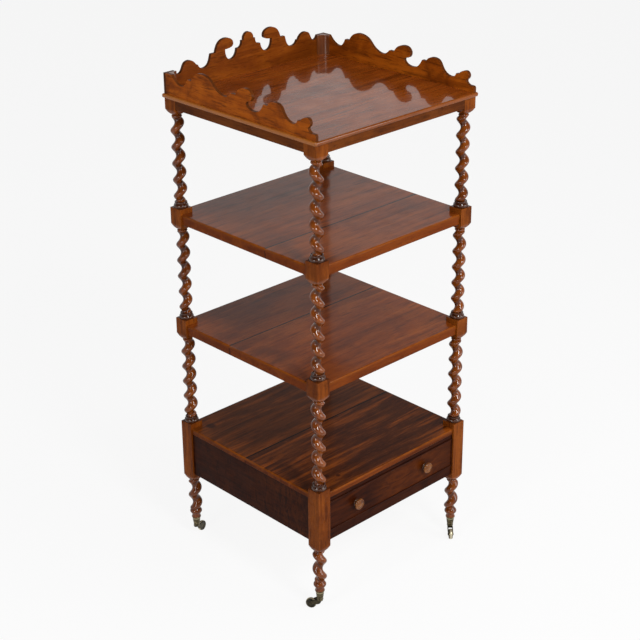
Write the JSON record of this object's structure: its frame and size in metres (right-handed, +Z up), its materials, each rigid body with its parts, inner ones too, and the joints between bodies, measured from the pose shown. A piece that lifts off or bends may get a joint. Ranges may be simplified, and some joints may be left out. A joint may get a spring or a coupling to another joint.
{
  "type": "tiered shelf",
  "caption": "Tall square tiered shelf on casters: rope-turned corner posts, open shelves, a drawer case and a scrolled gallery round the top.",
  "frame": {"origin": "on the floor under the middle of the post square", "axes": "+Z up, -Y towards the drawer front, +X to the right as seen from the front"},
  "size_m": [0.52, 0.532, 1.297],
  "materials": {
    "shelf_wood": "polished dark walnut, satin gloss",
    "post_wood": "polished turned walnut, gloss",
    "gallery_wood": "polished sawn walnut",
    "case_wood": "polished walnut panel",
    "drawer_front_wood": "polished figured walnut",
    "knob_wood": "polished turned hardwood",
    "lining_wood": "unpolished lining wood",
    "caster_brass": "aged polished brass",
    "wheel_brass": "worn brass"
  },
  "bodies": {
    "frame": {"front_left_leg": "post_wood", "front_left_lower_post": "post_wood", "front_left_middle_post": "post_wood", "front_left_upper_post": "post_wood", "front_right_leg": "post_wood", "front_right_lower_post": "post_wood", "front_right_middle_post": "post_wood", "front_right_upper_post": "post_wood", "back_left_leg": "post_wood", "back_left_lower_post": "post_wood", "back_left_middle_post": "post_wood", "back_left_upper_post": "post_wood", "back_right_leg": "post_wood", "back_right_lower_post": "post_wood", "back_right_middle_post": "post_wood", "back_right_upper_post": "post_wood", "top_board": "shelf_wood", "front_apron": "shelf_wood", "back_apron": "shelf_wood", "left_apron": "shelf_wood", "right_apron": "shelf_wood", "back_gallery": "gallery_wood", "left_gallery": "gallery_wood", "right_gallery": "gallery_wood", "left_gallery_block": "gallery_wood", "right_gallery_block": "gallery_wood", "second_shelf_front_board": "shelf_wood", "second_shelf_rear_board": "shelf_wood", "third_shelf_front_board": "shelf_wood", "third_shelf_rear_board": "shelf_wood", "case_top_front_board": "shelf_wood", "case_top_rear_board": "shelf_wood", "left_case_side": "case_wood", "right_case_side": "case_wood", "case_back": "case_wood", "drawer_rail": "case_wood", "case_top_rail": "case_wood", "drawer_runners": "lining_wood", "drawer_kickers": "lining_wood", "drawer_stops": "lining_wood", "front_left_caster_cup": "caster_brass", "front_right_caster_cup": "caster_brass", "back_left_caster_cup": "caster_brass", "back_right_caster_cup": "caster_brass"},
    "drawer": {"drawer_front": "drawer_front_wood", "drawer_left_side": "lining_wood", "drawer_right_side": "lining_wood", "drawer_back": "lining_wood", "drawer_bottom": "lining_wood", "cock_bead": "drawer_front_wood", "left_knob": "knob_wood", "right_knob": "knob_wood"},
    "front_left_swivel": {"front_left_caster_horn": "caster_brass"},
    "front_left_wheel": {"front_left_caster_wheel": "wheel_brass"},
    "front_right_swivel": {"front_right_caster_horn": "caster_brass"},
    "front_right_wheel": {"front_right_caster_wheel": "wheel_brass"},
    "back_left_swivel": {"back_left_caster_horn": "caster_brass"},
    "back_left_wheel": {"back_left_caster_wheel": "wheel_brass"},
    "back_right_swivel": {"back_right_caster_horn": "caster_brass"},
    "back_right_wheel": {"back_right_caster_wheel": "wheel_brass"}
  },
  "joints": [
    {"name": "drawer_slide", "type": "slide", "parent": "frame", "child": "drawer", "axis": [0, -1, 0], "range_m": [0, 0.33]},
    {"name": "front_left_swivel_turn", "type": "hinge", "parent": "frame", "child": "front_left_swivel", "pos_m": [-0.2365, -0.2335, 0.028], "axis": [0, 0, 1], "continuous": true},
    {"name": "front_left_wheel_spin", "type": "hinge", "parent": "front_left_swivel", "child": "front_left_wheel", "pos_m": [-0.24727, -0.21375, 0.0135], "axis": [-0.878, -0.4787, 0], "continuous": true},
    {"name": "front_right_swivel_turn", "type": "hinge", "parent": "frame", "child": "front_right_swivel", "pos_m": [0.2365, -0.2335, 0.028], "axis": [0, 0, 1], "continuous": true},
    {"name": "front_right_wheel_spin", "type": "hinge", "parent": "front_right_swivel", "child": "front_right_wheel", "pos_m": [0.22116, -0.24996, 0.0135], "axis": [0.7314, -0.682, 0], "continuous": true},
    {"name": "back_left_swivel_turn", "type": "hinge", "parent": "frame", "child": "back_left_swivel", "pos_m": [-0.2365, 0.2335, 0.028], "axis": [0, 0, 1], "continuous": true},
    {"name": "back_left_wheel_spin", "type": "hinge", "parent": "back_left_swivel", "child": "back_left_wheel", "pos_m": [-0.21484, 0.23959, 0.0135], "axis": [-0.2706, 0.9627, 0], "continuous": true},
    {"name": "back_right_swivel_turn", "type": "hinge", "parent": "frame", "child": "back_right_swivel", "pos_m": [0.2365, 0.2335, 0.028], "axis": [0, 0, 1], "continuous": true},
    {"name": "back_right_wheel_spin", "type": "hinge", "parent": "back_right_swivel", "child": "back_right_wheel", "pos_m": [0.24232, 0.25523, 0.0135], "axis": [-0.9659, 0.2588, 0], "continuous": true}
  ]
}
